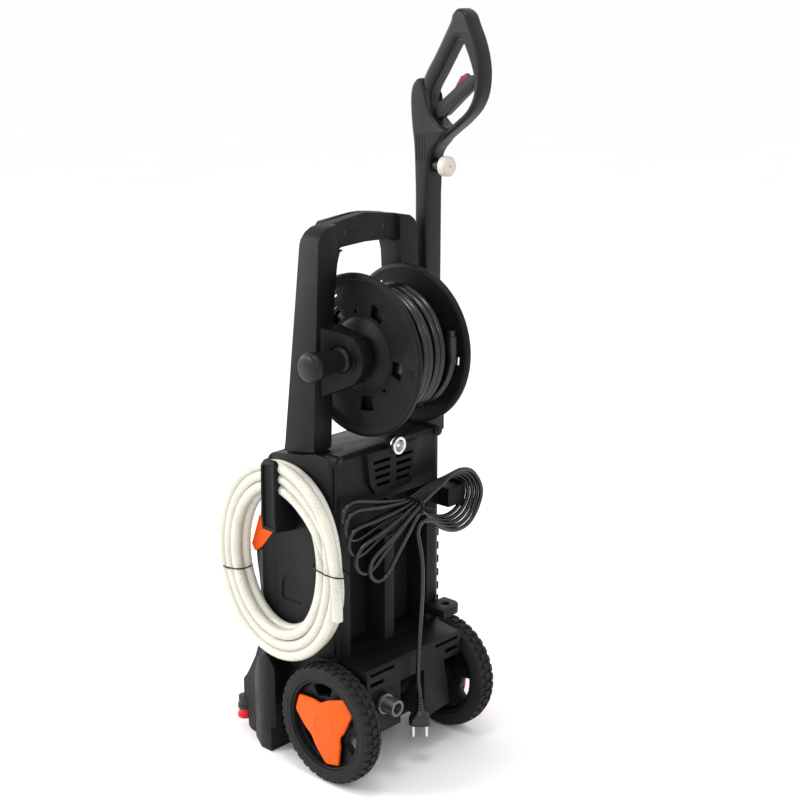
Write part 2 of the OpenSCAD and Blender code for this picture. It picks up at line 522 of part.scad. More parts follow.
// ------------------------------------------------------------------ the gun
receiver = [[-66, 930], [-63, 950], [-57, 958], [-50, 961], [-43, 958], [-36, 936], [-28, 914], [-12, 898], [0, 893], [-14, 874], [-25, 864],
  [-31, 846], [-34, 800], [-34, 458], [-56, 458], [-56.5, 800], [-59, 862], [-64, 900]];
guard_out = [[-46, 957], [-21, 998], [2, 1036], [6, 1047], [14, 1055], [23, 1055], [33, 1048], [40, 1034], [50, 1014], [57, 992], [60, 970], [57, 944],
  [46, 922], [26, 903], [4, 887], [-12, 875], [-26, 864], [-34, 880], [-37, 930]];
guard_in = [[-33, 939], [-13, 972], [9, 1006], [16, 1015], [23, 1015], [31, 1002], [41, 980], [46, 960], [44, 940], [33, 921], [15, 906], [0, 896], [-12, 897], [-27, 914]];
module gun_half() difference() {
  union() {
    ex_x(0.03, gun_w / 2, receiver);
    difference() { ex_x(0.03, grip_w / 2, guard_out); ex_x(-1, grip_w, guard_in); }
  }
  // hollow barrel and trigger slot
  bx(-1, gun_w / 2 - 3, -52.6, -37.4, 457, 905);
  ex_x(-1, 7, [[-54, 905], [-54, 944], [-46, 946], [-38, 940], [-34, 944], [-16, 960], [0, 940], [-10, 893], [-36, 893]]);
  cy(-40, -20, 0, 841, 6.5);
  cy(-33.7, -12, 0, 841, 10.1);
  // embossed slots on the side
  for (i = [0:3]) bx(gun_w / 2 - 1, gun_w, -54 + 5 * i, -52 + 5 * i, 846, 884);
}
module gun_shell_left() place() color([0.12, 0.12, 0.13]) translate([-gun_x, 0, 0]) {
  gun_half();
  // pivot pin of the trigger
  cx(-6.9, 8, -29, 914, 2.5);
}
module gun_shell_right() place() color([0.12, 0.12, 0.13]) translate([-gun_x, 0, 0]) mirror([1, 0, 0]) gun_half();
module trigger() place() color([0.16, 0.16, 0.17]) translate([-gun_x, 0, 0]) difference() {
  union() {
    ex_x(-6, 6, [[-33, 917], [-24, 906], [-8, 912], [38, 951], [43, 958], [42, 965], [36, 968], [24, 962], [-20, 929]]);
    cx(-6, 6, -29, 914, 7);
  }
  ex_x(-3.2, 3.2, [[-4, 936], [2, 930.5], [34, 953], [34, 974], [10, 974]]);
  cx(-7, 7, -29, 914, 2.56);
}
module trigger_lock() place() color([0.75, 0.2, 0.2]) translate([-gun_x, 0, 0]) {
  ex_x(-2.8, 2.8, [[3, 938], [6, 937.5], [29, 957], [31, 965], [25, 970], [15, 965], [3, 947]]);
  cx(-2.8, 2.8, 5, 940, 3);
}
module lance_tube() place() color([0.6, 0.6, 0.62]) translate([-gun_x, 0, 0]) {
  difference() { union() { cz(462, 880, 0, -45, 5.5); bx(-8, 8, -52, -38, 834, 892); cy(-39, -8, 0, 841, 6); } cz(460, 850, 0, -45, 3); cy(-30, -7, 0, 841, 3); }
}
module gun_inlet() place() color([0.55, 0.55, 0.57]) translate([-gun_x, 0, 0]) difference() {
  cy(-33.6, -17, 0, 841, 10);
  cy(-34, -7, 0, 841, 6.05);
}
module gun_inlet_cap() place() color([0.86, 0.80, 0.72]) translate([-gun_x, 0, 0]) difference() {
  union() { cy(-16.8, -6, 0, 841, 14.2); cy(-6.1, -4, 0, 841, 12.4); }
  cy(-17, -7.5, 0, 841, 6.08);
  cy(-8, -3, 0, 841, 1.4);
}

base_chassis();
front_housing();
rear_housing();
accent_band();
wheel_guards();
front_feet();
handle_frame();
handle_grip();
screws();
reel_bracket_left();
reel_bracket_right();
hose_hook();
accessory_lug();
gun_holster();
rear_connector();
water_inlet();
inlet_filter();
outlet_spigot();
outlet_cap();
wheel_axle();
axle_clips();
tyre_left();
rim_left();
hub_cap_left();
tyre_right();
rim_right();
hub_cap_right();
reel_flange_left();
reel_flange_right();
reel_drum();
reel_shaft();
reel_hose();
hose_end_fitting();
reel_swivel();
winding_knob();
motor_housing();
motor_rotor();
cooling_fan();
pump_body();
wobble_plate();
pump_pistons();
switch_box();
capacitor();
power_knob();
cord_gland();
cord_lead();
cord_bundle();
ties();
plug_body();
plug_pins();
supply_hose_coil();
gun_shell_left();
gun_shell_right();
trigger();
trigger_lock();
lance_tube();
gun_inlet();
gun_inlet_cap();
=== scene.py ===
import json
import math
import random
import bmesh
import bpy
from mathutils import Matrix, Vector


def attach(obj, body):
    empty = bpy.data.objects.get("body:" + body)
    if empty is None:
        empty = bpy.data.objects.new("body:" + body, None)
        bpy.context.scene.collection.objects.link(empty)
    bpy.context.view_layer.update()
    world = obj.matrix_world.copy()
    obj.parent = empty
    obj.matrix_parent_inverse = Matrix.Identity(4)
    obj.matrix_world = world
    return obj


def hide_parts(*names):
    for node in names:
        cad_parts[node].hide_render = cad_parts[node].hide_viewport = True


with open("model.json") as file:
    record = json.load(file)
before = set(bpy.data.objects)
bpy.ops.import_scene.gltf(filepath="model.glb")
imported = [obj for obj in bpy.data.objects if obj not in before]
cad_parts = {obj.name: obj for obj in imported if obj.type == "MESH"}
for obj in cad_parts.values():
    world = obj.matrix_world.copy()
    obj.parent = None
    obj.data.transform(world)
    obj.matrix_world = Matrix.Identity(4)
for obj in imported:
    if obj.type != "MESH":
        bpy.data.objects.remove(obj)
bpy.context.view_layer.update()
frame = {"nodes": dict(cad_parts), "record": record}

random.seed(7)
OY = 0.0597


def P(x, y, z):
    """Machine millimetres (wheel axle at y=0) to the row frame in metres."""
    return Vector((x / 1000, y / 1000 + OY, z / 1000))


# ------------------------------------------------------------------- camera
az, el = math.radians(132.7671), math.radians(15.5271)
back = Vector((math.sin(az) * math.cos(el), -math.cos(az) * math.cos(el), math.sin(el)))
cam_data = bpy.data.cameras.new("Camera")
cam = bpy.data.objects.new("Camera", cam_data)
bpy.context.scene.collection.objects.link(cam)
cam.location = (1.53057, 1.43630 + OY, 1.11511)
cam.rotation_mode = "QUATERNION"
cam.rotation_quaternion = (-back).to_track_quat("-Z", "Y")
cam_data.sensor_width = 36.0
cam_data.lens = 70.94
cam_data.clip_start = 0.05
cam_data.clip_end = 400
bpy.context.scene.camera = cam


def link(ob):
    bpy.context.scene.collection.objects.link(ob)
    return ob


# ---------------------------------------------------------------- materials
def new_mat(name):
    m = bpy.data.materials.new(name)
    m.use_nodes = True
    nt = m.node_tree
    b = nt.nodes["Principled BSDF"]
    return m, nt, b


def noise(nt, scale, detail=4.0, rough=0.55, stretch=None):
    tc = nt.nodes.new("ShaderNodeTexCoord")
    mp = nt.nodes.new("ShaderNodeMapping")
    if stretch:
        mp.inputs["Scale"].default_value = stretch
    nt.links.new(tc.outputs["Object"], mp.inputs["Vector"])
    n = nt.nodes.new("ShaderNodeTexNoise")
    n.inputs["Scale"].default_value = scale
    n.inputs["Detail"].default_value = detail
    n.inputs["Roughness"].default_value = rough
    nt.links.new(mp.outputs["Vector"], n.inputs["Vector"])
    return n


def ramp(nt, src, stops):
    r = nt.nodes.new("ShaderNodeValToRGB")
    els = r.color_ramp.elements
    while len(els) < len(stops):
        els.new(0.5)
    for e, (p, c) in zip(els, stops):
        e.position = p
        e.color = (*c, 1) if len(c) == 3 else c
    nt.links.new(src, r.inputs["Fac"])
    return r


def maprange(nt, src, a, b, c, d):
    m = nt.nodes.new("ShaderNodeMapRange")
    for k, v in zip(("From Min", "From Max", "To Min", "To Max"), (a, b, c, d)):
        m.inputs[k].default_value = v
    nt.links.new(src, m.inputs["Value"])
    return m


def mul(c, f):
    return tuple(min(1.0, v * f) for v in c)


def surface(name, col, rough=(0.4, 0.55), grain=1400, grain_h=0.00006, var=0.25, metal=0.0, spec=0.19,
            coat=0.0, scuff=0.0, scuff_col=None, big=14, coat_rough=0.3, ripple=None):
    """Moulded or machined surface: colour drift, roughness patches, fine grain and faint scuffs."""
    m, nt, b = new_mat(name)
    n1 = noise(nt, big, 5, 0.6)
    r1 = ramp(nt, n1.outputs["Fac"], [(0.3, mul(col, 1 - var)), (0.7, mul(col, 1 + var))])
    last = r1.outputs["Color"]
    if scuff:
        n3 = noise(nt, 60, 8, 0.75, (1, 1, 0.25))
        k = maprange(nt, n3.outputs["Fac"], 0.62, 0.78, 0.0, scuff)
        mx = nt.nodes.new("ShaderNodeMix")
        mx.data_type = "RGBA"
        nt.links.new(k.outputs["Result"], mx.inputs[0])
        nt.links.new(last, mx.inputs[6])
        mx.inputs[7].default_value = (*(scuff_col or mul(col, 2.2)), 1)
        last = mx.outputs[2]
    nt.links.new(last, b.inputs["Base Color"])
    n2 = noise(nt, big * 2.3, 6, 0.65)
    rr = maprange(nt, n2.outputs["Fac"], 0.3, 0.7, rough[0], rough[1])
    nt.links.new(rr.outputs["Result"], b.inputs["Roughness"])
    b.inputs["Metallic"].default_value = metal
    b.inputs["Specular IOR Level"].default_value = spec
    b.inputs["Coat Weight"].default_value = coat
    b.inputs["Coat Roughness"].default_value = coat_rough
    g = noise(nt, grain, 3, 0.5)
    bump = nt.nodes.new("ShaderNodeBump")
    bump.inputs["Strength"].default_value = 0.6
    bump.inputs["Distance"].default_value = grain_h
    nt.links.new(g.outputs["Fac"], bump.inputs["Height"])
    if ripple:
        g2 = noise(nt, ripple[0], 2, 0.5)
        b2 = nt.nodes.new("ShaderNodeBump")
        b2.inputs["Strength"].default_value = 0.5
        b2.inputs["Distance"].default_value = ripple[1]
        nt.links.new(g2.outputs["Fac"], b2.inputs["Height"])
        nt.links.new(b2.outputs["Normal"], bump.inputs["Normal"])
    nt.links.new(bump.outputs["Normal"], b.inputs["Normal"])
    return m


BLK = (0.0040, 0.0040, 0.0044)
M = {}
M["housing"] = surface("housing_plastic", BLK, (0.40, 0.54), 1100, 0.00010, scuff=0.10, scuff_col=(0.03, 0.03, 0.031), ripple=(9, 0.0012))
M["frame"] = surface("frame_plastic", mul(BLK, 1.05), (0.42, 0.56), 1200, 0.00009, scuff=0.08, scuff_col=(0.03, 0.03, 0.03), ripple=(9, 0.001))
M["grip"] = surface("grip_plastic", mul(BLK, 1.3), (0.32, 0.44), 1500, 0.00006, scuff=0.1, spec=0.26)
M["gun"] = surface("gun_plastic", mul(BLK, 1.3), (0.34, 0.46), 1500, 0.00007, scuff=0.08, spec=0.28)
M["rim"] = surface("rim_plastic", mul(BLK, 0.8), (0.38, 0.5), 1200, 0.00008, scuff=0.08, scuff_col=(0.03, 0.028, 0.026))
M["tyre"] = surface("tyre_plastic", (0.0125, 0.0123, 0.012), (0.55, 0.72), 900, 0.00014, scuff=0.3, scuff_col=(0.04, 0.038, 0.035), big=22)
M["orange"] = surface("orange_plastic", (0.80, 0.088, 0.002), (0.42, 0.54), 1300, 0.00005, var=0.05, spec=0.2, scuff=0.05, scuff_col=(0.7, 0.12, 0.02))
M["rubber"] = surface("feet_rubber", (0.014, 0.014, 0.014), (0.7, 0.85), 800, 0.00015)
M["steel"] = surface("steel", (0.55, 0.56, 0.58), (0.22, 0.34), 2200, 0.00003, var=0.06, metal=1.0)
M["screw"] = surface("zinc_screw", (0.035, 0.035, 0.038), (0.30, 0.42), 2200, 0.00003, var=0.1, metal=0.7)
M["dark_metal"] = surface("blackened_metal", (0.045, 0.045, 0.05), (0.20, 0.32), 2200, 0.00003, var=0.15, metal=0.8, spec=0.4)
M["nickel"] = surface("nickel", (0.78, 0.78, 0.79), (0.14, 0.26), 2400, 0.00002, var=0.04, metal=1.0)
M["inlet"] = surface("inlet_metal", (0.16, 0.165, 0.175), (0.30, 0.44), 1800, 0.00004, var=0.15, metal=0.85)
M["brass"] = surface("brass", (0.70, 0.50, 0.22), (0.25, 0.38), 2000, 0.00003, var=0.06, metal=1.0)
M["red"] = surface("red_plastic", (0.62, 0.012, 0.014), (0.30, 0.42), 1500, 0.00004, var=0.05, coat=0.2)
M["hp"] = surface("pressure_hose", (0.0045, 0.0045, 0.005), (0.15, 0.24), 1700, 0.00004, var=0.2, scuff=0.05, spec=0.5)
M["cord"] = surface("cord_pvc", (0.005, 0.005, 0.0055), (0.16, 0.26), 2200, 0.00002, var=0.2, spec=0.5)
M["tie"] = surface("tie_wire", (0.012, 0.012, 0.012), (0.3, 0.42), 2200, 0.00002)
M["trigger"] = surface("trigger_plastic", (0.02, 0.02, 0.021), (0.34, 0.46), 1500, 0.00006)
M["lock"] = surface("lock_plastic", (0.20, 0.018, 0.02), (0.35, 0.48), 1500, 0.00004, var=0.06)
M["cream"] = surface("cream_plastic", (0.62, 0.55, 0.49), (0.38, 0.5), 1500, 0.00005, var=0.05)
M["motor"] = surface("motor_steel", (0.30, 0.31, 0.33), (0.3, 0.45), 1500, 0.00005, var=0.08, metal=0.8)
M["copper"] = surface("copper_winding", (0.50, 0.24, 0.10), (0.25, 0.4), 900, 0.0003, var=0.15, metal=0.9)
M["alloy"] = surface("pump_alloy", (0.55, 0.56, 0.58), (0.42, 0.6), 700, 0.0002, var=0.1, metal=1.0)
M["switch"] = surface("switch_plastic", (0.03, 0.03, 0.033), (0.38, 0.5), 1400, 0.00006)
M["alu"] = surface("cap_alu", (0.72, 0.72, 0.74), (0.28, 0.4), 1800, 0.00004, var=0.05, metal=1.0)


def clear_hose():
    """Milky translucent PVC with a woven braid inside."""
    m, nt, b = new_mat("clear_hose")
    n1 = noise(nt, 22, 4, 0.6)
    r1 = ramp(nt, n1.outputs["Fac"], [(0.3, (0.60, 0.585, 0.49)), (0.7, (0.73, 0.72, 0.62))])
    # braid: crossed bands along the tube's own coordinates
    uv = nt.nodes.new("ShaderNodeUVMap")
    sep = nt.nodes.new("ShaderNodeSeparateXYZ")
    nt.links.new(uv.outputs["UV"], sep.inputs["Vector"])
    outs = []
    for s in (1, -1):
        a = nt.nodes.new("ShaderNodeMath"); a.operation = "MULTIPLY_ADD"
        nt.links.new(sep.outputs["X"], a.inputs[0]); a.inputs[1].default_value = 6.0 * s
        bm_ = nt.nodes.new("ShaderNodeMath"); bm_.operation = "MULTIPLY"
        nt.links.new(sep.outputs["Y"], bm_.inputs[0]); bm_.inputs[1].default_value = 150.0
        nt.links.new(bm_.outputs[0], a.inputs[2])
        f = nt.nodes.new("ShaderNodeMath"); f.operation = "FRACT"
        nt.links.new(a.outputs[0], f.inputs[0])
        c = nt.nodes.new("ShaderNodeMath"); c.operation = "COMPARE"
        nt.links.new(f.outputs[0], c.inputs[0]); c.inputs[1].default_value = 0.5; c.inputs[2].default_value = 0.09
        outs.append(c)
    mxm = nt.nodes.new("ShaderNodeMath"); mxm.operation = "MAXIMUM"
    nt.links.new(outs[0].outputs[0], mxm.inputs[0]); nt.links.new(outs[1].outputs[0], mxm.inputs[1])
    sc = nt.nodes.new("ShaderNodeMath"); sc.operation = "MULTIPLY"
    nt.links.new(mxm.outputs[0], sc.inputs[0]); sc.inputs[1].default_value = 0.34
    mx = nt.nodes.new("ShaderNodeMix"); mx.data_type = "RGBA"
    nt.links.new(sc.outputs[0], mx.inputs[0]); nt.links.new(r1.outputs["Color"], mx.inputs[6])
    mx.inputs[7].default_value = (0.88, 0.88, 0.82, 1)
    nt.links.new(mx.outputs[2], b.inputs["Base Color"])
    n2 = noise(nt, 40, 4, 0.6)
    rr = maprange(nt, n2.outputs["Fac"], 0.3, 0.7, 0.16, 0.30)
    nt.links.new(rr.outputs["Result"], b.inputs["Roughness"])
    b.inputs["Subsurface Weight"].default_value = 0.45
    b.inputs["Subsurface Radius"].default_value = (0.012, 0.012, 0.010)
    b.inputs["Subsurface Scale"].default_value = 1.0
    b.inputs["Transmission Weight"].default_value = 0.14
    b.inputs["IOR"].default_value = 1.42
    b.inputs["Coat Weight"].default_value = 0.25
    b.inputs["Coat Roughness"].default_value = 0.12
    bump = nt.nodes.new("ShaderNodeBump")
    bump.inputs["Strength"].default_value = 0.35
    bump.inputs["Distance"].default_value = 0.0003
    nt.links.new(mxm.outputs[0], bump.inputs["Height"])
    nt.links.new(bump.outputs["Normal"], b.inputs["Normal"])
    return m


M["clear"] = clear_hose()

SLOT_MAT = {"housing_plastic": "housing", "frame_plastic": "frame", "grip_plastic": "grip", "orange_plastic": "orange", "feet_rubber": "rubber",
            "tyre_plastic": "tyre", "rim_plastic": "rim", "steel": "steel", "zinc_screw": "screw", "nickel": "nickel", "inlet_metal": "inlet",
            "brass": "brass", "red_plastic": "red", "pressure_hose": "hp", "clear_hose": "clear", "motor_steel": "motor", "copper_winding": "copper",
            "pump_alloy": "alloy", "cap_alu": "alu", "switch_plastic": "switch", "cord_pvc": "cord", "tie_wire": "tie", "gun_plastic": "gun",
            "trigger_plastic": "trigger", "lock_plastic": "lock", "cream_plastic": "cream"}
node_slot = {s["node"]: s["material_slot"] for s in frame["record"]["subparts"]}
node_body = {}
for body, names in frame["record"]["behaviour"]["bodies"].items():
    for n in names:
        node_body[n] = body


def dress(ob, key):
    ob.data.materials.clear()
    ob.data.materials.append(M[key])


for name, ob in frame["nodes"].items():
    for s in ob.material_slots:
        s.material = M["dark_metal" if name in ("gun_inlet", "hose_end_fitting") else SLOT_MAT[node_slot[name]]]


# ------------------------------------------------------------------ helpers
def catmull(pts, n=6, closed=False):
    out = []
    k = len(pts)
    for i in range(k - 1):
        p0 = pts[max(i - 1, 0)]; p1 = pts[i]; p2 = pts[i + 1]; p3 = pts[min(i + 2, k - 1)]
        for j in range(n):
            t = j / n
            out.append(0.5 * ((2 * p1) + (p2 - p0) * t + (2 * p0 - 5 * p1 + 4 * p2 - p3) * t * t + (3 * p1 - p0 - 3 * p2 + p3) * t ** 3))
    out.append(pts[-1])
    return out


def length(pts):
    return sum((b - a).length for a, b in zip(pts, pts[1:]))


def even(pts, step):
    """Points a fixed distance apart along a polyline."""
    L = length(pts); n = max(2, int(round(L / step)))
    out = [pts[0]]; i = 0; acc = 0.0
    seg = [(b - a).length for a, b in zip(pts, pts[1:])]
    for k in range(1, n):
        t = L * k / n
        while acc + seg[i] < t:
            acc += seg[i]; i += 1
        out.append(pts[i].lerp(pts[i + 1], (t - acc) / max(seg[i], 1e-9)))
    out.append(pts[-1])
    return out


def smooth(pts, times=2, keep=2):
    for _ in range(times):
        q = pts[:]
        for i in range(keep, len(pts) - keep):
            q[i] = (pts[i - 1] + 2 * pts[i] + pts[i + 1]) / 4
        pts = q
    return pts


def tube_mesh(name, pts, r, sides=14, mat=None, caps=True, radii=None):
    """Tube with parallel-transported rings and UVs: u round, v along in metres."""
    me = bpy.data.meshes.new(name)
    bm = bmesh.new()
    uvl = bm.loops.layers.uv.new("UVMap")
    t0 = (pts[1] - pts[0]).normalized()
    ref = Vector((0, 0, 1)) if abs(t0.z) < 0.9 else Vector((1, 0, 0))
    u = t0.cross(ref).normalized()
    rings = []; dist = [0.0]
    prev = t0
    for i, p in enumerate(pts):
        t = (pts[min(i + 1, len(pts) - 1)] - pts[max(i - 1, 0)]).normalized()
        q = prev.rotation_difference(t)
        u = q @ u
        u = (u - t * u.dot(t)).normalized()
        w = t.cross(u)
        rr = radii[i] if radii else r
        rings.append([bm.verts.new(p + rr * (math.cos(2 * math.pi * j / sides) * u + math.sin(2 * math.pi * j / sides) * w)) for j in range(sides)])
        if i:
            dist.append(dist[-1] + (pts[i] - pts[i - 1]).length)
        prev = t
    for i in range(len(rings) - 1):
        for j in range(sides):
            k = (j + 1) % sides
            f = bm.faces.new((rings[i][j], rings[i][k], rings[i + 1][k], rings[i + 1][j]))
            f.smooth = True
            uv = [(j / sides, dist[i]), ((j + 1) / sides, dist[i]), ((j + 1) / sides, dist[i + 1]), (j / sides, dist[i + 1])]
            for l, c in zip(f.loops, uv):
                l[uvl].uv = c
    if caps:
        bm.faces.new(list(reversed(rings[0])))
        bm.faces.new(rings[-1])
    bm.normal_update()
    bm.to_mesh(me); bm.free()
    ob = link(bpy.data.objects.new(name, me))
    if mat:
        dress(ob, mat)
    return ob


def curve(name, pts, r, mat, cyclic=False, res=3):
    """Bevelled curve: one open spline through the points."""
    cu = bpy.data.curves.new(name, "CURVE")
    cu.dimensions = "3D"
    sp = cu.splines.new("POLY")
    sp.points.add(len(pts) - 1)
    for q, p in zip(sp.points, pts):
        q.co = (p.x, p.y, p.z, 1)
    cu.bevel_depth = r
    cu.bevel_resolution = res
    cu.use_fill_caps = True
    ob = link(bpy.data.objects.new(name, cu))
    cu.materials.append(M[mat])
    for s in cu.splines:
        s.use_smooth = True
    return ob


def lathe(name, prof, at, axis, mat, seg=48, bump=None):
    """Revolve (radius, along) mm points about an axis through `at`."""
    axis = Vector(axis).normalized()
    ref = Vector((0, 0, 1)) if abs(axis.z) < 0.9 else Vector((1, 0, 0))
    u = axis.cross(ref).normalized(); w = axis.cross(u)
    bm = bmesh.new()
    rings = []
    for r, h in prof:
        if r <= 1e-6:
            rings.append([bm.verts.new(at + axis * h / 1000)])
        else:
            rings.append([bm.verts.new(at + axis * h / 1000 + (r * (1 + (bump(a, h) if bump else 0))) / 1000 * (math.cos(a) * u + math.sin(a) * w))
                          for a in (2 * math.pi * j / seg for j in range(seg))])
    for a, b in zip(rings, rings[1:]):
        for j in range(seg):
            k = (j + 1) % seg
            if len(a) == 1 and len(b) == 1:
                continue
            if len(a) == 1:
                bm.faces.new((a[0], b[j], b[k]))
            elif len(b) == 1:
                bm.faces.new((a[j], b[0], a[k]))
            else:
                bm.faces.new((a[j], b[j], b[k], a[k]))
    bmesh.ops.recalc_face_normals(bm, faces=bm.faces)
    for f in bm.faces:
        f.smooth = True
    me = bpy.data.meshes.new(name)
    bm.to_mesh(me); bm.free()
    ob = link(bpy.data.objects.new(name, me))
    dress(ob, mat)
    sharp(ob)
    return ob


def sharp(ob, angle=38):
    """Smooth faces, with edges over the angle kept crisp."""
    me = ob.data
    bm = bmesh.new(); bm.from_mesh(me)
    lim = math.radians(angle)
    for e in bm.edges:
        e.smooth = not (len(e.link_faces) == 2 and e.calc_face_angle(0) > lim)
    for f in bm.faces:
        f.smooth = True
    bm.to_mesh(me); bm.free()


def ride(ob, body):
    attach(ob, body)


def refine(node, width=1.0, segs=2, limit=32, pick=None, wide=None, wide_segs=4, name=None, post=None):
    """A finer copy of a CAD node: merged, flattened, its edges rounded."""
    src = frame["nodes"][node]
    bm = bmesh.new(); bm.from_mesh(src.data)
    bmesh.ops.remove_doubles(bm, verts=bm.verts, dist=2e-6)
    bmesh.ops.dissolve_limit(bm, angle_limit=math.radians(1.0), verts=bm.verts, edges=bm.edges)
    bmesh.ops.dissolve_degenerate(bm, dist=1e-5, edges=bm.edges)

    def edges(test=None):
        out = []
        for e in bm.edges:
            if len(e.link_faces) == 2 and e.calc_face_angle(0) > math.radians(limit) and (test is None or test(e)):
                out.append(e)
        return out
    if wide and pick:
        sel = edges(pick)
        if sel:
            bmesh.ops.bevel(bm, geom=sel, offset=wide / 1000, offset_type="OFFSET", segments=wide_segs, profile=0.5, affect="EDGES", clamp_overlap=True)
    sel = edges((lambda e: e.calc_face_angle(0) > math.radians(55)) if wide else None)
    if sel and width:
        bmesh.ops.bevel(bm, geom=sel, offset=width / 1000, offset_type="OFFSET", segments=segs, profile=0.5, affect="EDGES", clamp_overlap=True)
    if post:
        post(bm)
    me = bpy.data.meshes.new(name or node + "_fine")
    bm.to_mesh(me); bm.free()
    ob = link(bpy.data.objects.new(name or node + "_fine", me))
    dress(ob, SLOT_MAT[node_slot[node]])
    sharp(ob, 40)
    ride(ob, node_body[node])
    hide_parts(node)
    return ob


# -------------------------------------------------------------------- cords
CORD_D = 6.4
wa = [19.5, 26.0, 32.5, 39.0, 45.5]      # places of the strands at the waist


def teardrop(tip, y0, y1, R, side):
    """One loop out from the waist to a round tip and back."""
    w = Vector((-16.0, 382.0))
    T = Vector(tip)
    d = (T - w).normalized(); n = Vector((-d.y, d.x)) * side
    C = T - d * R
    pts = []
    span = (C - w).length
    for f in (0.30, 0.62):
        c = w + d * span * f
        off = n * (4 + (R - 4) * f ** 1.3)
        pts.append((c.x + off.x, y0 + (y1 - y0) * f, c.y + off.y))
    for a in (100, 66, 33, 0, -33, -66, -100):
        ar = math.radians(a)
        v = d * math.cos(ar) * R + n * math.sin(ar) * R
        pts.append((C.x + v.x, y1 + 0.8 * a / 100, C.y + v.y))
    for f in (0.62, 0.30):
        c = w + d * span * f
        off = -n * (4 + (R - 4) * f ** 1.3)
        pts.append((c.x + off.x, y0 + (y1 - y0) * f, c.y + off.y))
    return [P(*p) for p in pts]


left_tips = [(107, 388), (106.5, 372), (104, 345), (92, 313), (66, 292)]
left_y = [12.2, 16.6, 21.4, 26.0, 30.4]
route = [P(-30, -12, 366), P(-30, -4, 366), P(-30, 6, 367), P(-27, 14.5, 371)]
for k in range(5):
    y = wa[k]
    route.append(P(-16, y, 377.4))
    route += teardrop(left_tips[k], y, left_y[k], 21 + 0.8 * (k % 2), -1)
    route.append(P(-16, y + 0.4, 386.4))
    # loop over the side box
    top = 399 + 4.2 * k; bot = 342 - 3.6 * k; xe = -137.5 - 2.2 * k; yr = 20 + 6.4 * k
    R = [(-34, 391 + k), (-58, 396.5 + 1.8 * k), (-86, top + 1), (-110, top), (-128, top - 8), (xe, (top + bot) / 2 + 10), (xe, (top + bot) / 2 - 8),
         (-128, bot + 9), (-110, bot + 0.5), (-86, bot + 1), (-62, bot + 11), (-38, 362 - 1.2 * k)]
    for i, (x, z) in enumerate(R):
        f = min(1, (i + 1) / 3, (len(R) - i) / 3)
        route.append(P(x, y + (yr - y) * f, z))
route = route[:-1] + [P(-42, 47.6, 353), P(-26, 48.0, 362), P(-13.5, 47.0, 361.5), P(-8.4, 45.6, 352), P(-8.2, 46.4, 340)]
route += [P(-9, 49, 332), P(-9, 54, 308), P(-7, 57, 280), P(-5, 58, 250), P(-1, 59, 216), P(3, 60, 183), P(6, 61, 150), P(7, 61.5, 130), P(4, 62, 116), P(3, 62, 108), P(3, 62, 100)]
cord_pts = smooth(even(catmull(route, 8), 0.0035), 11)
cord = curve("mains_cord", cord_pts, CORD_D / 2000, "cord", res=3)
ride(cord, "machine")
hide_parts("cord_lead", "cord_bundle")


# supply hose: nearly six turns hung over the hook, the last end hanging free
HOSE_D = 15.6


def hose_at(theta, off, x):
    """Point on the oval coil; theta 0 is the top, growing towards the rear."""
    s = math.sin(theta); c = math.cos(theta)
    squeeze = 0.94 if s < 0 else 1.0
    sq = 1 - (1 - squeeze) * max(0.0, -s)
    ring_y, ring_z = -90 + 74 * s, 309 + 98 * c
    n = Vector((s * 98, c * 74)).normalized()
    return P(x, ring_y + n.x * off * sq, ring_z + n.y * off * sq)


lanes = [(8.6, 119.4), (12.6, 133.4), (23.6, 119.4), (27.6, 133.4), (38.4, 119.4), (42.2, 133.4)]
hose_pts = []
start_a, turns = 0.34, 5.885
N = int(turns * 64)
for i in range(N + 1):
    a = i / 64
    k = min(int(a), len(lanes) - 1); f = a - int(a)
    k2 = min(k + 1, len(lanes) - 1)
    g = min(1, max(0, (f - 0.70) / 0.30)); g = g * g * (3 - 2 * g)
    off = lanes[k][0] * (1 - g) + lanes[k2][0] * g
    x = lanes[k][1] * (1 - g) + lanes[k2][1] * g
    th = 2 * math.pi * (a + start_a)
    hose_pts.append(hose_at(th, off + 0.5 * math.sin(1.7 * th + k), x + 0.4 * math.sin(2.3 * th + k * 1.7)))
last = hose_pts[-1]
drop = [last + Vector((0.0002, 0.0008, -0.013)), last + Vector((0.0006, 0.0022, -0.032)), last + Vector((0.0006, 0.0034, -0.056)), last + Vector((0.0004, 0.0042, -0.084))]
hose_pts = catmull(hose_pts[:-3] + drop, 2)
hose_pts = smooth(even(hose_pts, 0.007), 6)
hose_pts = even(hose_pts, 0.008)

hose = tube_mesh("supply_hose", hose_pts, HOSE_D / 2000, 20, "clear", caps=False)
ride(hose, "machine")
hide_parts("supply_hose_coil")


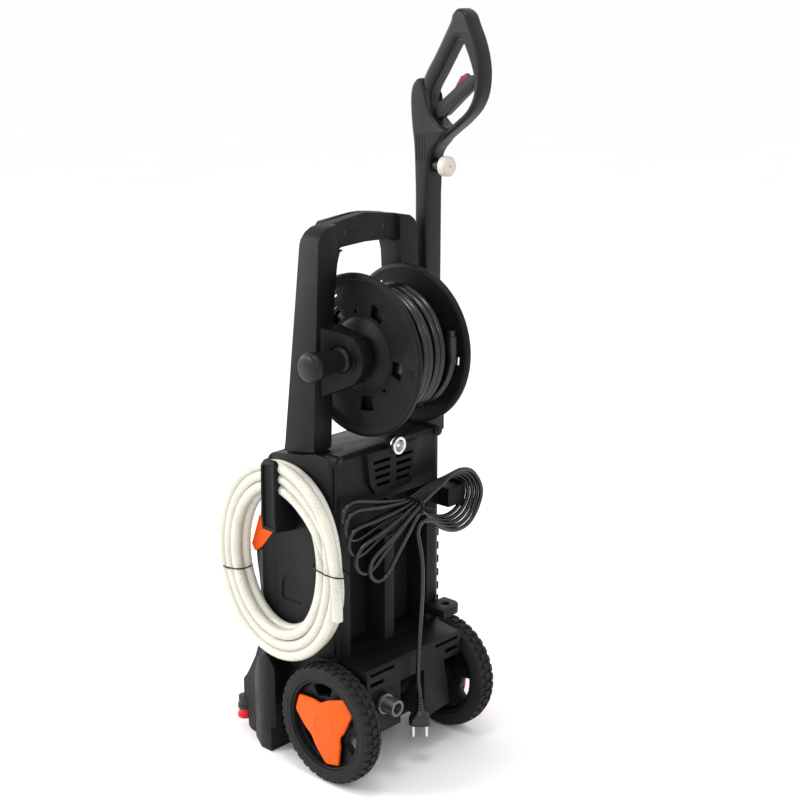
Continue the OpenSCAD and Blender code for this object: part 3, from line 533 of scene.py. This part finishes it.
# bore of the two cut ends: inner wall and annulus
def hose_end(name, p, d):
    d = d.normalized()
    ref = Vector((1, 0, 0)) if abs(d.x) < 0.9 else Vector((0, 0, 1))
    u = d.cross(ref).normalized(); w = d.cross(u)
    bm = bmesh.new()
    prof = [(HOSE_D / 2, 0), (HOSE_D / 2 - 0.4, 0.5), (6.4, 0.5), (6.0, 0.2), (6.0, -14), (0, -14)]
    rings = []
    for r, h in prof:
        if r == 0:
            rings.append([bm.verts.new(p + d * h / 1000)])
        else:
            rings.append([bm.verts.new(p + d * h / 1000 + r / 1000 * (math.cos(a) * u + math.sin(a) * w)) for a in (2 * math.pi * j / 24 for j in range(24))])
    for a, b in zip(rings, rings[1:]):
        for j in range(24):
            k = (j + 1) % 24
            bm.faces.new((a[j], b[0], a[k]) if len(b) == 1 else (a[j], b[j], b[k], a[k]))
    bmesh.ops.recalc_face_normals(bm, faces=bm.faces)
    for f_ in bm.faces:
        f_.smooth = True
    me = bpy.data.meshes.new(name); bm.to_mesh(me); bm.free()
    ob = link(bpy.data.objects.new(name, me)); dress(ob, "clear"); sharp(ob)
    ride(ob, "machine")
    return ob


end_a = hose_end("supply_hose_end_a", hose_pts[0], hose_pts[0] - hose_pts[1])
end_b = hose_end("supply_hose_end_b", hose_pts[-1], hose_pts[-1] - hose_pts[-2])

# the wound high pressure hose: two layers of turns on the reel
RY, RZ = -8.5, 603.0


def reel_pt(x, r, a):
    return P(x, RY + r * math.cos(a), RZ + r * math.sin(a))


hp = []
n_in = 6.6
for i in range(int(n_in * 40)):
    a = i / 40
    hp.append(reel_pt(-35.5 + 11.2 * a, 74.2, 2 * math.pi * a))
hp_in = hp
hp = []
n_out = 5.4
x0 = 31.0
for i in range(int(n_out * 48) + 1):
    a = i / 48
    x = x0 - 12.7 * a + 1.5 * math.sin(3.1 * a) + 0.8 * math.sin(7.3 * a + 1)
    r = 84.6 + 0.7 * math.sin(5.0 * a) + 0.5 * math.sin(11.3 * a + 1)
    if a > n_out - 0.22:
        g = (a - (n_out - 0.22)) / 0.22
        g = g * g * (3 - 2 * g)
        r += g * (92.5 - r)
        x = x * (1 - g) + -36 * g
    hp.append(reel_pt(x, r, 2 * math.pi * (a - n_out) + math.radians(4)))
hp.append(reel_pt(-36, 92.7, math.radians(11)))
hose_hp_in = tube_mesh("reel_hose_inner_layer", even(hp_in, 0.009), 0.0056, 12, "hp")
hose_hp = tube_mesh("reel_hose_outer_layer", smooth(even(hp, 0.008), 1), 0.0059, 14, "hp")
ride(hose_hp_in, "reel"); ride(hose_hp, "reel")
core = lathe("reel_hose_core", [(48.8, -37.8), (76, -38.4), (78, -36.5), (78, 36.5), (76, 38.4), (48.8, 37.8), (48.8, -37.8)], P(0, RY, RZ), (1, 0, 0), "hp", 64)
ride(core, "reel")
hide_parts("reel_hose")


# plug: rounded body, ribbed tapered sleeve
def loft(name, sections, at, rot, mat, seg=40, expo=2.8):
    bm = bmesh.new(); rings = []
    cr, sr = math.cos(rot), math.sin(rot)
    for z, a, b, n in sections:
        ring = []
        for j in range(seg):
            t = 2 * math.pi * j / seg
            c, s = math.cos(t), math.sin(t)
            x = a * math.copysign(abs(c) ** (2 / n), c); y = b * math.copysign(abs(s) ** (2 / n), s)
            ring.append(bm.verts.new(at + Vector(((x * cr - y * sr) / 1000, (x * sr + y * cr) / 1000, z / 1000))))
        rings.append(ring)
    for a, b in zip(rings, rings[1:]):
        for j in range(seg):
            k = (j + 1) % seg
            bm.faces.new((a[j], b[j], b[k], a[k]))
    bm.faces.new(rings[0]); bm.faces.new(rings[-1])
    bmesh.ops.recalc_face_normals(bm, faces=bm.faces)
    me = bpy.data.meshes.new(name); bm.to_mesh(me); bm.free()
    ob = link(bpy.data.objects.new(name, me)); dress(ob, mat); sharp(ob, 45)
    return ob


plug_at = Vector((0.003, 0.062 + OY, 0.0))
sec = [(62, 13.6, 9.2, 3.4), (62.4, 15.0, 10.6, 3.4), (63.6, 15.8, 11.3, 3.4), (68, 15.9, 11.4, 3.4), (73, 15.2, 11.2, 3.2), (77, 13.2, 10.4, 2.9), (80, 10.6, 9.2, 2.5),
       (82.5, 8.2, 7.8, 2.2), (84, 6.9, 6.9, 2.0)]
for i in range(5):
    z = 84.4 + 3.9 * i; r = 6.3 - 0.42 * i
    sec += [(z, r, r, 2.0), (z + 1.9, r - 0.05, r - 0.05, 2.0), (z + 2.2, r - 1.0, r - 1.0, 2.0), (z + 3.5, r - 1.05, r - 1.05, 2.0)]
sec += [(103.4, 4.2, 4.2, 2.0), (103.9, 3.7, 3.7, 2.0)]
plug = loft("plug_moulding", sec, plug_at, math.radians(-47), "cord")
ride(plug, "machine")
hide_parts("plug_body")

# wire ties: the cord's waist and two round the supply hose
def ring_tie(name, pts, r=0.0011):
    ob = tube_mesh(name, pts, r, 8, "tie")
    ride(ob, "machine")
    return ob


def rounded(cx_, cz_, a, b, n, k=40):
    out = []
    for j in range(k + 1):
        t = 2 * math.pi * j / k
        c, s = math.cos(t), math.sin(t)
        out.append((cx_ + a * math.copysign(abs(c) ** (2 / n), c), cz_ + b * math.copysign(abs(s) ** (2 / n), s)))
    return out


tie1 = ring_tie("cord_tie", [P(-15 + 1.5 * math.sin(3 * i / 6), y, z) for i, (y, z) in enumerate(rounded(33, 382, 18.6, 9.6, 3.0))], 0.0013)
tie1b = ring_tie("cord_tie_second_turn", [P(-18 + 1.0 * math.sin(i / 5), y, z) for i, (y, z) in enumerate(rounded(33, 382, 18.4, 9.4, 3.0))], 0.0013)
twist = []
for i in range(26):
    a = i * 0.9
    twist.append(P(-16.5 - i * 0.75 + 1.3 * math.cos(a), 52.4 + 1.0 * math.sin(a), 383 - 0.35 * i + 1.2 * math.sin(a)))
tie1c = ring_tie("cord_tie_twist", twist, 0.0011)
tie2 = ring_tie("hose_tie_front", [P(x, y, 277 + 2.2 * math.sin(i / 7)) for i, (x, y) in enumerate(rounded(126.8, -181.5, 15.6, 22.6, 2.6))])
tie3 = ring_tie("hose_tie_rear", [P(x, y, 319 - 2.0 * math.sin(i / 7)) for i, (x, y) in enumerate(rounded(126.8, 9.9, 15.6, 28.2, 2.6))])
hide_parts("ties")

# ----------------------------------------------------------- refined pieces
for n, w, s in [("base_chassis", 1.2, 2), ("front_housing", 2.2, 3), ("rear_housing", 1.6, 2), ("wheel_guards", 1.6, 3),
                ("handle_frame", 2.4, 3), ("handle_grip", 1.6, 3), ("reel_bracket_left", 2.6, 3), ("reel_bracket_right", 2.6, 3), ("hose_hook", 2.2, 3),
                ("accessory_lug", 1.6, 3), ("gun_holster", 1.2, 2), ("accent_band", 0.5, 2), ("front_feet", 1.5, 2),
                ("reel_flange_left", 0.8, 2), ("reel_flange_right", 0.8, 2), ("trigger", 1.4, 3), ("trigger_lock", 0.8, 2),
                ("winding_knob", 0.7, 2), ("power_knob", 0.8, 2), ("outlet_cap", 0.7, 2), ("outlet_spigot", 0.5, 2), ("gun_inlet_cap", 0.8, 3),
                ("rear_connector", 0.5, 2), ("water_inlet", 0.6, 2),
                ("rim_left", 0.9, 2), ("rim_right", 0.9, 2), ("screws", 0.3, 2)]:
    refine(n, w, s)



def closed_smooth(pts, n=5, keep=()):
    """Catmull-Rom through a closed outline; corners listed in keep stay sharp."""
    out = []
    k = len(pts)
    V = [Vector(p) for p in pts]
    for i in range(k):
        p0, p1, p2, p3 = V[i - 1], V[i], V[(i + 1) % k], V[(i + 2) % k]
        if i in keep:
            p0 = p1
        if (i + 1) % k in keep:
            p3 = p2
        for j in range(n):
            t = j / n
            out.append(0.5 * ((2 * p1) + (p2 - p0) * t + (2 * p0 - 5 * p1 + 4 * p2 - p3) * t * t + (3 * p1 - p0 - 3 * p2 + p3) * t ** 3))
    return out


def slab(loops, half, bevel, segs=4):
    """Both faces of a rounded plate from outlines in the Y-Z plane, as vertices and faces (mm, x across)."""
    cu = bpy.data.curves.new("slab", "CURVE")
    cu.dimensions = "2D"
    cu.fill_mode = "BOTH"
    for lp in loops:
        sp = cu.splines.new("POLY")
        sp.points.add(len(lp) - 1)
        for q, p_ in zip(sp.points, lp):
            q.co = (p_[0], p_[1], 0, 1)
        sp.use_cyclic_u = True
    cu.extrude = half - bevel
    cu.bevel_depth = bevel
    cu.bevel_resolution = segs
    cu.offset = -bevel
    ob = link(bpy.data.objects.new("slab", cu))
    bpy.context.view_layer.update()
    dg = bpy.context.evaluated_depsgraph_get()
    me = bpy.data.meshes.new_from_object(ob.evaluated_get(dg))
    bpy.data.objects.remove(ob)
    return me


GX = -130.0
receiver = closed_smooth([(-66, 930), (-63.5, 948), (-57, 957.5), (-50, 960.5), (-43.5, 957), (-36, 936), (-28, 914), (-12, 898), (0, 893), (-12, 876), (-25, 862), (-30.5, 846), (-33, 800),
                          (-34, 458), (-56, 458), (-56.5, 800), (-59, 862), (-64, 900)], 5, keep=(12, 13, 14, 15))
guard_out = closed_smooth([(-46, 957), (-21, 998), (2, 1036), (6, 1047), (14, 1054.6), (23, 1054.6), (33, 1048), (40, 1034), (50, 1014), (57, 992), (60, 970), (57, 944),
                           (46, 922), (26, 903), (4, 887), (-12, 875), (-26, 864), (-34, 880), (-37, 930)], 5)
guard_in = closed_smooth([(-33, 939), (-13, 972), (9, 1006), (16, 1015), (23, 1015), (31, 1002), (41, 980), (46, 960), (44, 940), (33, 921), (15, 906), (0, 896), (-12, 897), (-27, 914)], 5)
for side, n in ((1, "gun_shell_left"), (-1, "gun_shell_right")):
    bm = bmesh.new()
    for me in (slab([receiver], 17, 5.2), slab([guard_out, guard_in], 14, 6.2)):
        part = bmesh.new(); part.from_mesh(me)
        bmesh.ops.remove_doubles(part, verts=part.verts, dist=1e-3)
        # keep one side of the joint between the halves
        cut = bmesh.ops.bisect_plane(part, geom=part.verts[:] + part.edges[:] + part.faces[:], plane_co=(0, 0, 0.04 * side), plane_no=(0, 0, side), clear_inner=True)
        edges_ = [e for e in part.edges if e.is_boundary]
        bmesh.ops.triangle_fill(part, edges=edges_, use_beauty=True)
        for v in part.verts:
            v.co = P(GX + v.co.z, v.co.x, v.co.y)
        bmesh.ops.recalc_face_normals(part, faces=part.faces)
        tmp = bpy.data.meshes.new("half"); part.to_mesh(tmp); part.free()
        bm.from_mesh(tmp)
    # ribs on the side of the receiver
    for i in range(4):
        y0_ = -54 + 5 * i
        vs = [bm.verts.new(P(GX + side * xx, yy, zz)) for xx in (16.4, 17.45) for yy in (y0_, y0_ + 2) for zz in (847 + i, 884)]
        for a_, b_, c_, d_ in ((0, 1, 3, 2), (4, 6, 7, 5), (0, 4, 5, 1), (2, 3, 7, 6), (0, 2, 6, 4), (1, 5, 7, 3)):
            bm.faces.new((vs[a_], vs[b_], vs[c_], vs[d_]))
    me = bpy.data.meshes.new(n + "_fine")
    bm.to_mesh(me); bm.free()
    ob = link(bpy.data.objects.new(n + "_fine", me))
    dress(ob, "gun")
    sharp(ob, 42)
    ride(ob, node_body[n])
    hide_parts(n)

# wheels: outer and inner faces of the tyre, height of the axle
WX0, WX1, AZ = 104.8, 136.2, 87.5


def wheel_mesh(name, side, build, mat, node):
    bm = bmesh.new()
    build(bm, side)
    bmesh.ops.recalc_face_normals(bm, faces=bm.faces)
    me = bpy.data.meshes.new(name); bm.to_mesh(me); bm.free()
    ob = link(bpy.data.objects.new(name, me)); dress(ob, mat); sharp(ob, 34)
    ride(ob, node_body[node])
    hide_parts(node)
    return ob


def on_wheel(side, x, r, a):
    return P(side * x, r * math.cos(a), AZ + r * math.sin(a))


def tyre_build(bm, side):
    prof = [(66.2, WX0 + 1.2), (67.4, WX0 + 0.2), (72, WX0), (79.5, WX0), (82.6, WX0 + 1.4), (84.2, WX0 + 4), (84.6, WX0 + 9), (84.6, WX1 - 9), (84.2, WX1 - 4), (82.6, WX1 - 1.4),
            (79.5, WX1 - 0.1), (78.6, WX1 - 0.5), (77.8, WX1 - 0.1), (71.5, WX1), (70.6, WX1 - 0.5), (69.6, WX1), (67.6, WX1 - 0.1), (66.2, WX1 - 1.2)]
    seg = 120
    rings = [[bm.verts.new(on_wheel(side, x, r, 2 * math.pi * j / seg)) for j in range(seg)] for r, x in prof]
    for a, b in zip(rings, rings[1:] + rings[:1]):
        for j in range(seg):
            k = (j + 1) % seg
            bm.faces.new((a[j], a[k], b[k], b[j]))
    mid = (WX0 + WX1) / 2
    n = 38
    rows = [((mid - 4.6, 87.3), (mid + 4.6, 87.3), 0.0, 0.62), ((WX0 + 0.9, 84.2), (mid - 6.2, 87.3), 0.5, 0.66), ((mid + 6.2, 87.3), (WX1 - 0.9, 84.2), 0.5, 0.66)]
    for (xa, ra), (xb, rb), ph, w in rows:
        for k in range(n):
            c = 2 * math.pi * (k + ph) / n; h = math.pi / n * w
            sk = 0.02 if ph else 0.0
            low = []; top = []
            inner_a, inner_b = min(ra - 3.2, 82.5), min(rb - 3.2, 82.5)
            cs = ((xa, ra, inner_a, -h), (xb, rb, inner_b, -h + sk), (xb, rb, inner_b, h + sk), (xa, ra, inner_a, h))
            for x, r, ri, d in cs:
                low.append(bm.verts.new(on_wheel(side, x, ri, c + d)))
            for x, r, ri, d in cs:
                low.append(bm.verts.new(on_wheel(side, x, r - 0.5, c + d)))
            xm = (xa + xb) / 2
            for x, r, ri, d in cs:
                xi = x + (0.5 if x < xm else -0.5)
                top.append(bm.verts.new(on_wheel(side, xi, r if abs(r - 87.3) < 0.1 else r + 0.35, c + (d - (0.006 if d > 0.02 or d == h else -0.006)))))
            for q in range(4):
                t = (q + 1) % 4
                bm.faces.new((low[q], low[t], low[4 + t], low[4 + q]))
                bm.faces.new((low[4 + q], low[4 + t], top[t], top[q]))
            bm.faces.new(top)
            bm.faces.new(low[:4])


LOBE = [(16.5, -28.6), (31, -24.7), (50, -16.5), (58, -12.5), (59.2, -9), (59.2, 9), (58, 12.5), (50, 16.5), (31, 24.7)]
cap_line = []
for a in (42.3, 162.3, 282.3):
    ar = math.radians(a)
    cap_line += [(u * math.cos(ar) - v * math.sin(ar), u * math.sin(ar) + v * math.cos(ar)) for u, v in LOBE]
cap_line = closed_smooth(cap_line, 6)


def cap_build(bm, side):
    # domed three-lobe cover, sunk towards the tips, with a ring round its middle
    def dome(r):
        base = 1.4 if r < 20 else 1.4 - (r - 20) * (1.4 + 3.6) / 39.0
        ring = 0.9 * math.exp(-((r - 18.2) / 1.3) ** 2)
        return base + ring
    fr = [0.0, 0.12, 0.22, 0.27, 0.30, 0.33, 0.37, 0.42, 0.5, 0.6, 0.7, 0.8, 0.88, 0.94, 0.975]
    rads = [0, 8, 14, 16, 17, 17.8, 18.6, 19.4, 20.5, 22]
    k = len(cap_line)
    rings = []
    for r in rads:
        if r == 0:
            rings.append([bm.verts.new(on_wheel(side, WX1 + dome(0), 0, 0))]); continue
        rings.append([bm.verts.new(P(side * (WX1 + dome(r)), q.x / q.length * r, AZ + q.y / q.length * r)) for q in cap_line])
    for f in (0.15, 0.35, 0.55, 0.75, 0.88, 0.95):
        rings.append([])
        for q in cap_line:
            R = q.length; r = 22 + (R - 22) * f
            d = q / R
            drop = 0.25 * max(0, (f - 0.80) / 0.15)
            rings[-1].append(bm.verts.new(P(side * (WX1 + dome(r) - drop), d.x * r, AZ + d.y * r)))
    for inset, dx in ((0.9, -0.75), (0.25, -1.5), (0.0, -2.6), (0.0, -3.6)):
        rings.append([bm.verts.new(P(side * (WX1 + dome(q.length) + dx), q.x * (1 - inset / q.length), AZ + q.y * (1 - inset / q.length))) for q in cap_line])
    for a, b in zip(rings, rings[1:]):
        for j in range(k):
            t = (j + 1) % k
            bm.faces.new((a[0], b[j], b[t]) if len(a) == 1 else (a[j], b[j], b[t], a[t]))
    bm.faces.new(rings[-1])


for side, sn in ((1, "left"), (-1, "right")):
    wheel_mesh("tyre_%s_tread" % sn, side, tyre_build, "tyre", "tyre_" + sn)
    wheel_mesh("hub_cap_%s_dome" % sn, side, cap_build, "orange", "hub_cap_" + sn)

# ------------------------------------------------------------------- lights
floor_me = bpy.data.meshes.new("floor")
floor_me.from_pydata([(-90, -90, -0.0002), (90, -90, -0.0002), (90, 90, -0.0002), (-90, 90, -0.0002)], [], [(0, 1, 2, 3)])
floor = link(bpy.data.objects.new("floor", floor_me))
fm, fnt, fb = new_mat("floor_pale")
fn = noise(fnt, 2.0, 3, 0.5)
fr_ = ramp(fnt, fn.outputs["Fac"], [(0.3, (0.925, 0.925, 0.925)), (0.7, (0.94, 0.94, 0.94))])
fnt.links.new(fr_.outputs["Color"], fb.inputs["Base Color"])
fb.inputs["Roughness"].default_value = 0.55
fb.inputs["Specular IOR Level"].default_value = 0.1
floor_me.materials.append(fm)

world = bpy.data.worlds.new("studio")
bpy.context.scene.world = world
world.use_nodes = True
bg = world.node_tree.nodes["Background"]
bg.inputs["Color"].default_value = (1, 1, 1, 1)
bg.inputs["Strength"].default_value = 1.06


def area(name, loc, target, size, power, size_y=None):
    ld = bpy.data.lights.new(name, "AREA")
    ld.energy = power
    ld.shape = "RECTANGLE"
    ld.size = size; ld.size_y = size_y or size
    ob = link(bpy.data.objects.new(name, ld))
    ob.location = loc
    ob.rotation_mode = "QUATERNION"
    ob.rotation_quaternion = (Vector(target) - Vector(loc)).to_track_quat("-Z", "Y")
    return ob


mid = (0, 0, 0.5)
area("top_softbox", (0.5, 0.5, 2.9), mid, 0.7, 16)
area("left_softbox", (2.4, -1.5, 1.9), (0, 0, 0.7), 0.8, 44, 1.5)
area("front_softbox", (0.9, -2.6, 1.2), (0, 0, 0.3), 1.2, 26, 1.2)
area("camera_softbox", (2.1, 2.3, 2.3), mid, 0.45, 9, 0.9)
bpy.context.scene.view_settings.view_transform = "Standard"
